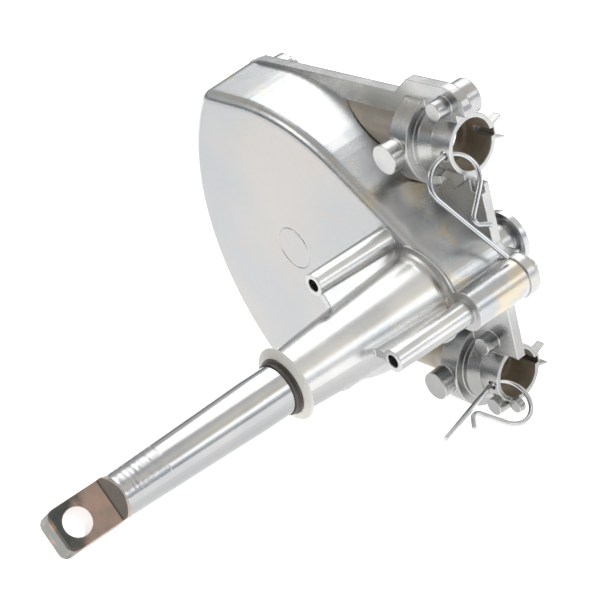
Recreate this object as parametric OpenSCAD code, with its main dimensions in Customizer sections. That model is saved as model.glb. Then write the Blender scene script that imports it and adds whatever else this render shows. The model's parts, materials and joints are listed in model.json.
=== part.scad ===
// Rotary cable steering helm with two cable outlets.
// Millimetres. The origin is on the shaft's axis, in the plane of the stud ends.
// -Y runs along the shaft towards the steering wheel, +X towards the cable outlets, +Z up.

/* [Steering shaft] */
// Diameter of the straight length of the shaft
shaft_d = 19.05; // [17.5:0.05:20]
// Distance from the stud plane to the far end of the tongue
shaft_reach = 129.2; // [105:0.1:160]
// Distance from the stud plane to where the taper starts
taper_start = 45; // [40:0.5:55]
// Diameter at the small end of the taper
taper_end_d = 15.72; // [14:0.02:17.4]
// Length of the flat tongue
tongue_l = 20.8; // [17:0.1:26]
// Thickness of the tongue across its flats
tongue_t = 10.87; // [8:0.01:13]
// Diameter of the hole through the tongue
tongue_hole_d = 10.06; // [7:0.01:10.5]
// Distance from the tongue's end to the centre of its hole
tongue_hole_back = 7.85; // [7:0.05:10]
// Turn of the tongue about the shaft at rest, in degrees
tongue_turn = 50.9; // [0:0.1:180]
// Diameter of the shaft inside the clutch
clutch_shaft_d = 14; // [10:0.1:15.5]

/* [Nose] */
// Distance from the stud plane to the front of the nose
nose_l = 29.2; // [20:0.1:34]
// Diameter of the nose at its front
nose_tip_d = 23.4; // [23:0.1:28]
// Diameter of the nose where it meets the case
nose_root_d = 32.4; // [29:0.1:38]
// Radius of the blend between the nose and the case
nose_blend = 4; // [1:0.1:5]
// Diameter of the white ring at the front of the nose
nose_ring_d = 28.2; // [26:0.1:32]
// Thickness of the white ring at its rim
nose_ring_t = 0.9; // [0.7:0.1:3]
// Diameter of the dark seal inside the white ring
seal_d = 21.6; // [21.2:0.1:24]
// Distance that the seal stands out of the white ring
seal_stand = 2.5; // [1:0.1:4]

/* [Mounting studs] */
// Diameter of the circle that the stud centres lie on
stud_circle_d = 47.6; // [44:0.1:52]
// Number of studs
stud_count = 3; // [3:1:3]
// Diameter of a stud at its tapped end
stud_d = 8.84; // [7.5:0.02:11]
// Diameter of the tapped hole in a stud
stud_hole_d = 5.1; // [4:0.05:6.4]
// Depth of the tapped hole
stud_hole_depth = 22; // [14:0.5:24]
// Thickness of the web between a stud and the nose
stud_web_t = 3; // [2:0.1:4]
// Diameter of the long screw boss behind the outer stud
long_boss_d = 15.8; // [13:0.1:17]

/* [Gears] */
// Gear module
gear_module = 1.5; // [1.25:0.05:1.8]
// Teeth on the drive wheel
wheel_teeth = 69; // [61:2:79]
// Teeth on the pinion
pinion_teeth = 19; // [17:2:21]
// Pressure angle
pressure_angle = 20; // [20:0.5:25]
// Width of the teeth
tooth_w = 14; // [10:0.1:15]
// Backlash at the pitch line
backlash = 0.12; // [0.08:0.01:0.3]

/* [Front case] */
// Distance from the stud plane to the front face of the case
stud_l = 36; // [30:0.1:44]
// Depth of the front case from its face to the joint
case_depth = 26; // [24:0.1:32]
// Thickness of the front face
face_t = 3; // [2:0.1:4]
// Thickness of the side wall
wall_t = 2.6; // [1.8:0.1:3.4]
// Radius round the edge of the front face
face_round = 4.5; // [2:0.1:4.5]
// How far the side wall leans outwards on its way to the joint
draft = 1.6; // [0.8:0.1:2.4]
// Room above the drive wheel, to the outside of the case
crown_room = 10.25; // [9.5:0.05:16]
// Room behind the drive wheel, to the outside of the case
far_room = 11.75; // [9:0.05:18]
// Radius of the far end of the case
far_r = 98; // [85:0.5:120]
// Distance from the wheel's axle to the centre of the crown's curve
crown_shift = 19; // [17:0.5:24]
// Distance of the crown's centre past the middle line
crown_drop = 24.5; // [21:0.5:26]
// Room round the pinion, to the outside of the case
pinion_room = 2.25; // [2.25:0.05:4.5]
// Radius of the case's far corners
corner_r = 9; // [4:0.5:14]

/* [Rear cover] */
// Thickness of the cover's plate
plate_t = 4; // [3:0.1:5]
// How far the plate stands past the front case
plate_lip = 3.4; // [2.4:0.1:5]
// Height of the plate's upper straight edge over the shaft's axis
plate_up_h = 66.8; // [66.5:0.1:72]
// Depth of the plate's lower straight edge under the shaft's axis
plate_low_h = 59; // [57.5:0.1:62]
// Height of the plate's ear beside the upper outlet
ear_h = 73; // [73:0.1:78]
// Distance from the shaft's axis to the end of the plate beside the upper outlet
plate_end = 14.8; // [14:0.1:17]
// Distance from the shaft's axis to the end of the plate beside the lower outlet
plate_low_end = 17; // [14:0.1:18]
// Wall of the round dish over the cable drum
dish_wall = 2.6; // [2:0.1:3.5]
// Depth of the dish behind the plate
dish_depth = 11; // [10.5:0.1:15]
// Outer diameter of the bearing boss behind the pinion
rear_boss_d = 16; // [15.5:0.1:20]
// Distance from the plate's back to the end of the bearing boss
rear_boss_l = 13.5; // [12:0.1:20]

/* [Cable outlets] */
// Distance between the two cables
cable_pitch = 98.6; // [97:0.1:99]
// Distance from the joint to the cable's centre
cable_back = 4.7; // [4.7:0.05:5]
// Diameter of the cable passage
passage_d = 9; // [8:0.1:9.2]
// Outer diameter of the tube round the passage
passage_tube_d = 20.2; // [17:0.1:22]
// Distance from the shaft's axis to the outlet's rim
rim_x = 9.93; // [8:0.01:14]
// Outer diameter of the outlet
outlet_d = 23; // [22.4:0.1:26]
// Diameter of the outlet's mouth
mouth_d = 19.5; // [17.5:0.1:20.5]
// Depth of the mouth
mouth_depth = 12.93; // [12:0.01:15]
// Diameter of the seat behind the mouth
seat_d = 16.4; // [13:0.1:17]
// Length of the seat
seat_l = 9; // [6:0.5:11]
// Diameter of the collar behind the outlet
collar_d = 35.8; // [32:0.1:38]
// Width of the collar
collar_w = 9; // [6:0.1:11]
// Diameter of the lock hole for the spring clip
lock_hole_d = 3.8; // [3.8:0.1:4.4]
// Distance from the rim to the lock hole
lock_hole_back = 3.1; // [3:0.01:4]

/* [Spring clips] */
// Diameter of the clip's wire
wire_d = 2; // [1.6:0.05:2]
// Radius of the clip's eye, at the middle of the wire
eye_r = 9.4; // [9:0.1:10]
// Length of the clip's straight leg
leg_l = 33; // [26:0.5:33]

/* [Cover screws] */
// Diameter of a cover screw
screw_d = 4.9; // [4:0.05:5.4]
// Diameter of a screw's head
screw_head_d = 9; // [8:0.1:10]
// Height of a screw's head
screw_head_h = 3.2; // [2:0.1:4]
// Length of a screw's thread in the front case
thread_l = 16; // [10:0.5:18]

/* [Hidden] */
$fn = 96;

// Clearances and small overlaps
run_gap = 0.05;
seat_gap = 0.02;
side_gap = 0.3;
cut = 1;
slice = 0.01;

// Planes along Y
face_y = stud_l;
floor_y = face_y + face_t;
joint_y = face_y + case_depth;
back_y = joint_y + plate_t;
cable_y = joint_y + cable_back;
dish_y = back_y + dish_depth;
dish_floor_y = dish_y - dish_wall;
rear_boss_y = back_y + rear_boss_l;

// Gears
axle_x = -gear_module * (wheel_teeth + pinion_teeth) / 2;
wheel_tip_r = gear_module * (wheel_teeth + 2) / 2;
pinion_tip_r = gear_module * (pinion_teeth + 2) / 2;
gear_back = 8.3;
gear_y = face_y + gear_back;
wheel_front_y = gear_y - side_gap;
gear_gap = 0.45;

// Case outline
case_half_h = wheel_tip_r + crown_room;
far_x = axle_x - wheel_tip_r - far_room + far_r;
crown_x = axle_x - crown_shift;
crown_r = case_half_h + crown_drop;
pinion_case_r = pinion_tip_r + pinion_room;
tangent_a = atan2(crown_drop, -crown_x) + acos((crown_r - pinion_case_r) / norm([crown_x, crown_drop]));
corner_x = far_x - sqrt(pow(far_r - corner_r, 2) - pow(case_half_h - corner_r, 2));
corner_a = atan2(case_half_h - corner_r, corner_x - far_x);
cavity_draft = 1;
ejector_mark_x = axle_x - 5.6;
ejector_mark_z = 1.4;
ejector_mark_d = 18.4;
mark_w = 0.5;
mark_depth = 0.3;

// Screws: one behind each stud, and two at the far corners
stud_r = stud_circle_d / 2;
stud_angles = [for (i = [0 : stud_count - 1]) 360 / stud_count * i];
corner_screw_x = axle_x - 34;
corner_screw_z = case_half_h - 6.5;
corner_boss_d = 14.6;
corner_boss_y = back_y + 8;
inner_boss_d = 8;
inner_corner_boss_d = 11;
screw_gap = 0.05;
dish_boss_seat = dish_y + 1;
screw_boss_d = 12;
lobe_r = long_boss_d / 2 + 0.6;

// Dowels
dowel_d = 4;
dowel_l = 10.5;
dowel_stand = 3.2;
dowel_boss_d = 6.4;
dowel_spots = [[-17, 29.5], [-17, -29.5]];

// Shaft line
stud_web_y = 0.8;
stud_taper = 1.2;
shoulder_y = -6;
clutch_end_y = face_y - 3;
nose_bore_d = 21.4;
bearing_bore_d = 23;
ring_rim_y = -nose_l - nose_ring_t;
ring_lift = 0.9;
ring_front_y = ring_rim_y - ring_lift;
ring_chamfer = 0.5;
seal_front_y = ring_front_y - seal_stand;
seal_pocket_depth = 1.4;
seal_lip_t = 0.55;
seal_groove_t = 0.4;
sleeve_bore_d = 20.8;
spring_wire_d = 1.6;
spring_end_gap = 3;
bearing_start_y = clutch_end_y - 1;
sleeve_end_y = bearing_start_y - side_gap;
spring_turns = 13;
spring_r = sleeve_bore_d / 2 - side_gap - spring_wire_d / 2;
spring_side = 6;
spring_ring_steps = 12;
inner_boss_end_y = floor_y + 4;
round_boss_d = 28;
pinion_boss_d = 17;
pinion_journal_d = 10;
socket_d = 10;
socket_l = 7.3;
spigot_l = 7;
journal_end_y = rear_boss_y - 2.5;
rear_bore_d = 13;
cap_d = 22.6;
cap_t = 2.5;
cap_gap = 1.5;
cap_hex_d = 8;
circlip_y = shoulder_y + 2.4;
circlip_t = 1.2;
circlip_d = 18;
circlip_groove_d = 12.4;
washer_t = 1.8;
thrust_washer_d = 20.4;

// Tongue
tongue_w = taper_end_d;
tongue_start = shaft_reach - tongue_l;
neck_l = 4.5;
tongue_corner_r = 3;

// Wheel
axle_d = 12;
wheel_bore_d = 16;
wheel_hub_d = 24;
wheel_boss_d = 20;
axle_boss_d = 16;
washer_d = 22;
hub_washer_t = 0.5;
axle_start_y = face_y + 2.1;
axle_end_y = dish_y - 1;
hub_front_y = wheel_front_y;
hub_rear_y = dish_floor_y - 4.8;
rim_front_y = wheel_front_y + tooth_w + 2;
rim_rear_y = cable_y + 6.3;
rim_inner_r = 41;
gear_ring_r = 45;
cable_r = cable_pitch / 2;
drum_r = cable_r + 1.3;
groove_r = 4.3;
web_set = 2;
web_y = wheel_front_y + tooth_w - web_set;
web_t = 5;
light_hole_d = 15;
light_hole_r = 28;
dish_r = cable_r + 6.2;
race_t = 1.5;
race_gap = 0.2;
race_front_y = joint_y + 0.3;
race_rear_y = cable_y + 4.3;

// Cover details
collar_rear_x = rim_x - 24.6;
hub_step_x = collar_rear_x + collar_w;
hub_d = 28.6;
hub_w = 2.2;
hub_cone_w = 4;
outlet_neck_x = hub_step_x + hub_w + hub_cone_w;
collar_cut_y = joint_y + 3;
seat_x = rim_x - mouth_depth;
lock_x = rim_x - lock_hole_back;
notch_outer = 13.5;
notch_inner = 11;
clip_notch_inner = 16.8;
plate_step_y = joint_y + plate_t / 2;
ear_start_x = rim_x - 30.7;
ear_slope = 7.5;
ear_corner_r = 10;
strip_start_x = axle_x - 41.5;
strip_corner = [6.5, 2.1];
stud_boss_x = collar_rear_x + 2.7;
stud_boss_d = 11.6;
stud_boss_y = cable_y - collar_d / 2 - 5.6;
pin_boss_x = rim_x - 5.4;
pin_boss_off = 16.4;
pin_boss_d = 7.8;
pin_boss_y = joint_y - 6;
low_boss_off = 11.5;
boss_lean = 0.8;
foot_boss_off = 10.8;
foot_boss_x = rim_x + 2.1;
foot_boss_d = 6.6;
foot_boss_y = joint_y - 2;
foot_boss_end_y = joint_y + 0.6;
rib_t = 2;
rib_h = 2;
rib_count = 6;
boss_rib_l = 17;
dish_boss_d = 30;
back_boss_x = 4;
back_boss_z = 64;
back_boss_d = 14;
stud_boss_lift = 0.3;
slot_w = 3;
slot_l = 9;
fin_l = 3.5;
fin_t = 1.3;
fin_r = 16.3;
fin_root_a = 9;
fin_tip_a = 14;
pad_r = 4.3;
pad_x = rim_x - 10.9;
pad_t = 2;
pad_in = 7;

// Clips
clip_steps = 10;
clip_sides = 8;
bump_s = 15.6;
bump_e = 5.2;
bump_r = 2.8;
flare_a = 40;
flare_l = 4;
low_clip_shift = [-0.4, -1, -0.2];
up_clip_shift = [-0.07, 0.4, -0.1];

zinc = [0.80, 0.83, 0.86];
cast = [0.78, 0.79, 0.80];
dark_cast = [0.66, 0.67, 0.68];
steel = [0.62, 0.64, 0.67];
bronze = [0.72, 0.55, 0.32];
nylon = [0.93, 0.93, 0.90];
rubber = [0.20, 0.18, 0.17];

// ---- Helpers ----

// A flat shape in (x, z), standing from y0 to y1
module span_y(y0, y1)
    translate([0, y1, 0])
        rotate([90, 0, 0])
            linear_extrude(y1 - y0)
                children();

// A flat shape in (y, z), running from x0 to x1
module span_x(x0, x1)
    translate([x0, 0, 0])
        rotate([90, 0, 90])
            linear_extrude(x1 - x0)
                children();

// A round bar along Y, centred at (x, z)
module rod_y(x, z, y0, y1, d)
    translate([x, y0, z])
        rotate([-90, 0, 0])
            cylinder(h = y1 - y0, d = d);

// A tapered round bar along Y
module cone_y(x, z, y0, y1, d0, d1)
    translate([x, y0, z])
        rotate([-90, 0, 0])
            cylinder(h = y1 - y0, d1 = d0, d2 = d1);

// A tube along Y
module tube_y(x, z, y0, y1, outer_d, inner_d)
    difference() {
        rod_y(x, z, y0, y1, outer_d);
        rod_y(x, z, y0 - cut, y1 + cut, inner_d);
    }

// A profile in (radius, y), turned about the Y axis
module spin_y(x)
    translate([x, 0, 0])
        rotate([-90, 0, 0])
            rotate_extrude()
                children();

function unit(v) = v / norm(v);
function arc(cx, cy, r, a0, a1, n) =
    [for (i = [0 : n]) let (a = a0 + (a1 - a0) * i / n) [cx + r * cos(a), cy + r * sin(a)]];

// ---- Case outline ----

function upper_outline(inset) = concat(
    arc(0, 0, pinion_case_r - inset, 0, tangent_a, 12),
    arc(crown_x, -crown_drop, crown_r - inset, tangent_a, 90, 12),
    arc(corner_x, case_half_h - corner_r, corner_r - inset, 90, corner_a, 6),
    arc(far_x, 0, far_r - inset, corner_a, 180, 16)
);
function closed_outline(half) =
    concat(half, [for (i = [len(half) - 2 : -1 : 1]) [half[i][0], -half[i][1]]]);

module case_outline(inset) polygon(closed_outline(upper_outline(inset)));

// The inside of the front case's wall, at the joint
module cavity_outline() case_outline(wall_t - draft + cavity_draft);

module case_body()
    hull() {
        for (a = [0 : 15 : 90])
            let (y = face_y + face_round * (1 - sin(a)))
                span_y(y, y + slice) case_outline(face_round * (1 - cos(a)));
        span_y(joint_y - slice, joint_y) case_outline(-draft);
    }

// ---- Front housing ----

module nose()
    spin_y(0)
        polygon(concat(
            [[0, -nose_l], [nose_tip_d / 2, -nose_l]],
            [for (a = [0 : 15 : 90]) [
                nose_root_d / 2 + nose_blend * (1 - cos(a)),
                face_y - nose_blend * (1 - sin(a))
            ]],
            [[nose_root_d / 2 + nose_blend, face_y + cut], [0, face_y + cut]]
        ));

module studs() {
    for (a = stud_angles)
        rotate([0, -a, 0]) {
            cone_y(stud_r, 0, 0, face_y + cut, stud_d, stud_d + stud_taper);
            span_y(stud_web_y, face_y + cut)
                translate([nose_tip_d / 2, -stud_web_t / 2])
                    square([stud_r - nose_tip_d / 2, stud_web_t]);
        }
    rod_y(stud_r, 0, face_y, joint_y, long_boss_d);
}

module inner_bosses() {
    rod_y(0, 0, floor_y - cut, inner_boss_end_y, round_boss_d);
    rod_y(axle_x, 0, floor_y - cut, wheel_front_y - hub_washer_t, axle_boss_d);
    for (a = [120, 240])
        rod_y(stud_r * cos(a), stud_r * sin(a), floor_y - cut, joint_y, inner_boss_d);
    for (side = [1, -1])
        rod_y(corner_screw_x, side * corner_screw_z, floor_y - cut, joint_y, inner_corner_boss_d);
    for (spot = dowel_spots)
        rod_y(spot[0], spot[1], floor_y - cut, joint_y, dowel_boss_d);
}

module case_cavity()
    difference() {
        union() {
            hull() {
                span_y(floor_y, floor_y + slice) case_outline(wall_t);
                span_y(joint_y, joint_y + slice) cavity_outline();
            }
            rod_y(0, 0, gear_y - cut, joint_y + cut, 2 * (pinion_tip_r + gear_gap));
        }
        inner_bosses();
    }

// The screw behind the outer stud sits on the plate, and the others beside the dish are level with it
function screw_seat(a) = a == 0 ? back_y + 1 : dish_boss_seat;

module screw_holes(y0, y1, d) {
    for (a = stud_angles)
        rod_y(stud_r * cos(a), stud_r * sin(a), y0, y1, d);
    for (side = [1, -1])
        rod_y(corner_screw_x, side * corner_screw_z, y0, y1, d);
}

module front_housing()
    color(cast)
        difference() {
            union() {
                difference() {
                    union() {
                        case_body();
                        studs();
                    }
                    case_cavity();
                }
                nose();
                intersection() {
                    inner_bosses();
                    case_body();
                }
            }
            rod_y(0, 0, -nose_l - cut, cut, nose_bore_d);
            rod_y(0, 0, 0, inner_boss_end_y + cut, bearing_bore_d);
            rod_y(axle_x, 0, axle_start_y - side_gap, wheel_front_y + cut, axle_d + 2 * seat_gap);
            for (a = stud_angles)
                rotate([0, -a, 0])
                    rod_y(stud_r, 0, -cut, stud_hole_depth, stud_hole_d);
            screw_holes(joint_y - thread_l - cut, joint_y + cut, screw_d + 2 * screw_gap);
            for (spot = dowel_spots)
                rod_y(spot[0], spot[1], joint_y - dowel_l + dowel_stand, joint_y + cut, dowel_d + 2 * seat_gap);
            tube_y(ejector_mark_x, ejector_mark_z, face_y - cut, face_y + mark_depth,
                ejector_mark_d, ejector_mark_d - 2 * mark_w);
        }

// ---- Rear cover ----

module ear()
    polygon(concat(
        [[ear_start_x, 0], [ear_start_x, plate_up_h], [ear_start_x + ear_slope, ear_h]],
        arc(plate_end - ear_corner_r, ear_h - ear_corner_r, ear_corner_r, 90, 0, 8),
        [[plate_end, 0]]
    ));

// The plate's straight-edged strip, with its far corners cut off
module strip(end_x, edge_z)
    polygon([
        [strip_start_x, 0],
        [strip_start_x, edge_z - sign(edge_z) * strip_corner[1]],
        [strip_start_x + strip_corner[0], edge_z],
        [end_x, edge_z],
        [end_x, 0]
    ]);

// The plate, cut back beside the outlets: inner sizes are the cuts towards the middle
module plate_outline(upper_inner, lower_inner)
    difference() {
        union() {
            case_outline(-draft);
            intersection() {
                case_outline(-plate_lip);
                translate([axle_x, -plate_low_h]) square([plate_end - axle_x, plate_low_h + plate_up_h]);
            }
            strip(rim_x, plate_up_h);
            strip(rim_x, -plate_low_h);
            polygon([[0, -cable_r], [plate_low_end, -cable_r], [plate_end, cable_r], [0, cable_r]]);
            ear();
            translate([stud_r, 0]) circle(r = lobe_r);
        }
        translate([rim_x, cable_r - upper_inner]) square([plate_low_end, upper_inner + notch_outer]);
        translate([rim_x, -cable_r - notch_outer]) square([plate_low_end, lower_inner + notch_outer]);
    }

// Everything round one cable, drawn about its own centre line
module outlet_solids(z) {
    translate([0, cable_y, z]) {
        rotate([0, 90, 0]) {
            translate([0, 0, axle_x]) cylinder(h = collar_rear_x + cut - axle_x, d = passage_tube_d);
            translate([0, 0, hub_step_x - cut]) cylinder(h = hub_w + cut, d = hub_d);
            translate([0, 0, hub_step_x + hub_w]) cylinder(h = hub_cone_w, d1 = hub_d, d2 = outlet_d);
            translate([0, 0, outlet_neck_x - slice]) cylinder(h = rim_x - outlet_neck_x + slice, d = outlet_d);
        }
        fins();
    }
    span_y(stud_boss_y, joint_y)
        translate([stud_boss_x, z + stud_boss_lift]) circle(d = stud_boss_d);
    intersection() {
        span_x(collar_rear_x, hub_step_x) translate([cable_y, z]) circle(d = collar_d);
        span_y(joint_y - collar_d, collar_cut_y)
            square(4 * cable_r, center = true);
    }
}

module fins()
    for (side = [1, -1])
        span_x(rim_x - fin_l, rim_x)
            polygon([
                [outlet_d / 2 * cos(side * fin_root_a) - cut, outlet_d / 2 * sin(side * fin_root_a)],
                [fin_r * cos(side * fin_tip_a), fin_r * sin(side * fin_tip_a)],
                [fin_r * cos(side * fin_tip_a), fin_r * sin(side * fin_tip_a) + side * fin_t / 2],
                [outlet_d / 2 * cos(side * fin_root_a) - cut, outlet_d / 2 * sin(side * fin_root_a) + side * fin_t]
            ]);

module outlet_bores(z)
    translate([0, cable_y, z]) {
        rotate([0, 90, 0]) {
            translate([0, 0, axle_x]) cylinder(h = seat_x - axle_x, d = passage_d);
            translate([0, 0, seat_x - seat_l]) cylinder(h = seat_l + slice, d = seat_d);
            translate([0, 0, seat_x]) cylinder(h = mouth_depth + cut, d = mouth_d);
        }
        translate([lock_x, -outlet_d, 0])
            rotate([-90, 0, 0])
                cylinder(h = outlet_d, d = lock_hole_d);
        translate([rim_x - slot_l, 0, -slot_w / 2])
            cube([slot_l + cut, outlet_d, slot_w]);
    }

// Room for the front case in front of the joint
module case_room()
    span_y(face_y - cut, joint_y) case_outline(-draft - side_gap);

// Round bosses on the plate's front, and the web that carries the two under the lower outlet
module pin_bosses() {
    for (z = [cable_r + pin_boss_off, -cable_r + pin_boss_off, -cable_r - low_boss_off])
        cone_y(pin_boss_x, z, pin_boss_y, plate_step_y, pin_boss_d - boss_lean, pin_boss_d);
    cone_y(foot_boss_x, -cable_r - foot_boss_off, foot_boss_y, foot_boss_end_y, foot_boss_d - boss_lean, foot_boss_d);
    span_y(joint_y, foot_boss_end_y)
        translate([pin_boss_x, -cable_r - foot_boss_off - foot_boss_d / 4])
            square([foot_boss_x - pin_boss_x, foot_boss_d / 2]);
}

// The arched pad under the upper outlet
module outlet_pad()
    span_y(joint_y - pad_t, joint_y + slice)
        polygon(concat(
            arc(pad_x, cable_r - pin_boss_off, pad_r, 110, 0, 8),
            [[rim_x, cable_r - outlet_d / 2], [rim_x, cable_r - pad_in], [pad_x - pad_t, cable_r - pad_in]]
        ));

module dish_ribs()
    for (i = [0 : rib_count - 1])
        translate([axle_x, 0, 0])
            rotate([0, 360 / rib_count * (i + 0.5), 0])
                span_y(dish_y - cut, dish_y + rib_h)
                    translate([dish_boss_d / 2 - cut, -rib_t / 2])
                        square([dish_r - dish_boss_d / 2 - rib_t, rib_t]);

module rear_bosses() {
    for (side = [1, -1])
        rod_y(corner_screw_x, side * corner_screw_z, joint_y + cut, corner_boss_y, corner_boss_d);
    rod_y(back_boss_x, back_boss_z, joint_y + cut, corner_boss_y, back_boss_d);
    rod_y(0, 0, joint_y + cut, rear_boss_y, rear_boss_d);
    rod_y(axle_x, 0, dish_y - cut, dish_y + rib_h, dish_boss_d);
    for (a = stud_angles)
        rod_y(stud_r * cos(a), stud_r * sin(a), joint_y + cut, screw_seat(a), a == 0 ? long_boss_d : screw_boss_d);
    span_y(joint_y + cut, rear_boss_y - 2 * rib_t) {
        translate([0, -rib_t])
            square([plate_end - cut, 2 * rib_t]);
        square([2 * rib_t, rear_boss_d + 2 * boss_rib_l], center = true);
    }
}

module rear_cover()
    color(dark_cast)
        difference() {
            union() {
                span_y(joint_y, plate_step_y) plate_outline(clip_notch_inner, notch_inner);
                span_y(plate_step_y - slice, back_y) plate_outline(notch_outer, notch_inner);
                difference() {
                    union() {
                        outlet_solids(cable_r);
                        outlet_solids(-cable_r);
                    }
                    case_room();
                }
                rod_y(axle_x, 0, joint_y + cut, dish_y, 2 * (dish_r + dish_wall));
                rear_bosses();
                dish_ribs();
                pin_bosses();
                outlet_pad();
            }
            difference() {
                rod_y(axle_x, 0, joint_y - cut, dish_floor_y, 2 * dish_r);
                rod_y(axle_x, 0, hub_rear_y + hub_washer_t, dish_floor_y + cut, wheel_boss_d);
                for (a = [120, 240])
                    rod_y(stud_r * cos(a), stud_r * sin(a), joint_y - 2 * cut, dish_floor_y + cut, inner_boss_d);
            }
            rod_y(axle_x, 0, hub_rear_y, axle_end_y, axle_d + 2 * seat_gap);
            rod_y(0, 0, joint_y - cut, rear_boss_y + cut, rear_bore_d);
            screw_holes(joint_y - cut, dish_boss_seat + cut, screw_d + 2 * screw_gap);
            for (spot = dowel_spots)
                rod_y(spot[0], spot[1], joint_y - cut, joint_y + dowel_stand + side_gap, dowel_d + 2 * seat_gap);
            outlet_bores(cable_r);
            outlet_bores(-cable_r);
        }

// ---- Shaft line ----

module tongue_slice(y, size)
    span_y(y, y + slice) square(size, center = true);

module tongue()
    rotate([0, tongue_turn, 0])
        difference() {
            union() {
                translate([0, 0, -tongue_t / 2])
                    linear_extrude(tongue_t)
                        polygon(concat(
                            [[tongue_w / 2, -tongue_start], [-tongue_w / 2, -tongue_start]],
                            arc(-tongue_w / 2 + tongue_corner_r, -shaft_reach + tongue_corner_r,
                                tongue_corner_r, 180, 270, 6),
                            arc(tongue_w / 2 - tongue_corner_r, -shaft_reach + tongue_corner_r,
                                tongue_corner_r, 270, 360, 6)
                        ));
                intersection() {
                    hull() {
                        tongue_slice(-tongue_start, [tongue_w, tongue_w]);
                        rod_y(0, 0, -tongue_start + neck_l, -tongue_start + neck_l + slice, taper_end_d + side_gap);
                    }
                    span_x(-tongue_w, tongue_w)
                        polygon([
                            [-tongue_start, -tongue_t / 2],
                            [-tongue_start + neck_l + cut, -tongue_w / 2 - cut],
                            [-tongue_start + neck_l + cut, tongue_w / 2 + cut],
                            [-tongue_start, tongue_t / 2]
                        ]);
                }
            }
            translate([0, -shaft_reach + tongue_hole_back, -tongue_w])
                cylinder(h = 2 * tongue_w, d = tongue_hole_d);
        }

module input_shaft()
    color(zinc)
        union() {
            tongue();
            difference() {
                spin_y(0)
                    polygon([
                        [0, -tongue_start + neck_l - slice],
                        [taper_end_d / 2, -tongue_start + neck_l - slice],
                        [shaft_d / 2, -taper_start],
                        [shaft_d / 2, shoulder_y],
                        [clutch_shaft_d / 2, shoulder_y],
                        [clutch_shaft_d / 2, clutch_end_y],
                        [socket_d / 2 - run_gap, clutch_end_y],
                        [socket_d / 2 - run_gap, clutch_end_y + spigot_l],
                        [0, clutch_end_y + spigot_l]
                    ]);
                tube_y(0, 0, circlip_y, circlip_y + circlip_t, 2 * clutch_shaft_d, circlip_groove_d);
            }
        }

// Angle that the involute has opened by, where it leans by a degrees
function involute(a) = tan(a) * 180 / PI - a;
// Half the angle that a tooth takes up at radius r
function tooth_half(teeth, r) = let (
        pitch_r = gear_module * teeth / 2,
        base_r = pitch_r * cos(pressure_angle),
        lean = acos(min(1, base_r / r))
    )
    90 / teeth - backlash / pitch_r * 90 / PI + involute(pressure_angle) - involute(lean);

module gear_outline(teeth) {
    pitch_r = gear_module * teeth / 2;
    root_r = pitch_r - 1.25 * gear_module;
    tip_r = pitch_r + gear_module;
    low_r = max(root_r, pitch_r * cos(pressure_angle));
    flank = concat(
        [[root_r, tooth_half(teeth, low_r)]],
        [for (i = [0 : 3]) let (r = low_r + (tip_r - low_r) * i / 3) [r, tooth_half(teeth, r)]]
    );
    first = low_r > root_r ? 0 : 1;
    polygon([
        for (t = [0 : teeth - 1], side = [-1, 1], i = [first : len(flank) - 1])
            let (
                p = side < 0 ? flank[i] : flank[len(flank) - 1 - i + first],
                a = 360 * t / teeth + side * p[1]
            )
            [p[0] * cos(a), p[0] * sin(a)]
    ]);
}

module drive_pinion()
    color(steel)
        difference() {
            union() {
                rod_y(0, 0, clutch_end_y, gear_y, pinion_boss_d);
                span_y(gear_y, gear_y + tooth_w - side_gap) gear_outline(pinion_teeth);
                rod_y(0, 0, gear_y + cut, journal_end_y, pinion_journal_d);
            }
            rod_y(0, 0, clutch_end_y - cut, clutch_end_y + socket_l, socket_d);
        }

module clutch_sleeve()
    color(steel)
        tube_y(0, 0, seat_gap, sleeve_end_y, bearing_bore_d - 2 * seat_gap, sleeve_bore_d);

// A wire swept along a path; the path's plane or axis is square to n
module wire(path, d, n, sides) {
    last = len(path) - 1;
    points = [
        for (i = [0 : last])
            let (
                along = unit(path[min(i + 1, last)] - path[max(i - 1, 0)]),
                across = unit(cross(along, n)),
                up = cross(across, along)
            )
            for (k = [0 : sides - 1])
                path[i] + d / 2 * (cos(360 * k / sides) * up + sin(360 * k / sides) * cross(along, up))
    ];
    faces = concat(
        [[for (k = [0 : sides - 1]) k]],
        [[for (k = [sides - 1 : -1 : 0]) last * sides + k]],
        [
            for (i = [0 : last - 1], k = [0 : sides - 1])
                let (
                    a = i * sides + k,
                    b = i * sides + (k + 1) % sides
                )
                each [[a, a + sides, b + sides], [a, b + sides, b]]
        ]
    );
    polyhedron(points = points, faces = faces, convexity = 10);
}

module clutch_spring() {
    first_y = spring_end_gap;
    last_y = sleeve_end_y - spring_end_gap;
    steps = spring_turns * spring_ring_steps;
    color(steel)
        wire(
            [for (i = [0 : steps]) [
                spring_r * cos(360 * i / spring_ring_steps),
                first_y + (last_y - first_y) * i / steps,
                spring_r * sin(360 * i / spring_ring_steps)
            ]],
            spring_wire_d, [0, 1, 0], spring_side
        );
}

module nose_bush()
    color(nylon)
        spin_y(0)
            difference() {
                polygon([
                    [shaft_d / 2 + run_gap, ring_front_y],
                    [seal_d / 2 + seat_gap, ring_front_y],
                    [nose_ring_d / 2 - ring_chamfer, ring_rim_y],
                    [nose_ring_d / 2, ring_rim_y + ring_chamfer],
                    [nose_ring_d / 2, -nose_l],
                    [nose_bore_d / 2 - seat_gap, -nose_l],
                    [nose_bore_d / 2 - seat_gap, shoulder_y],
                    [shaft_d / 2 + run_gap, shoulder_y]
                ]);
                translate([0, ring_front_y - cut])
                    square([seal_d / 2 + seat_gap, seal_pocket_depth + cut]);
            }

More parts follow.
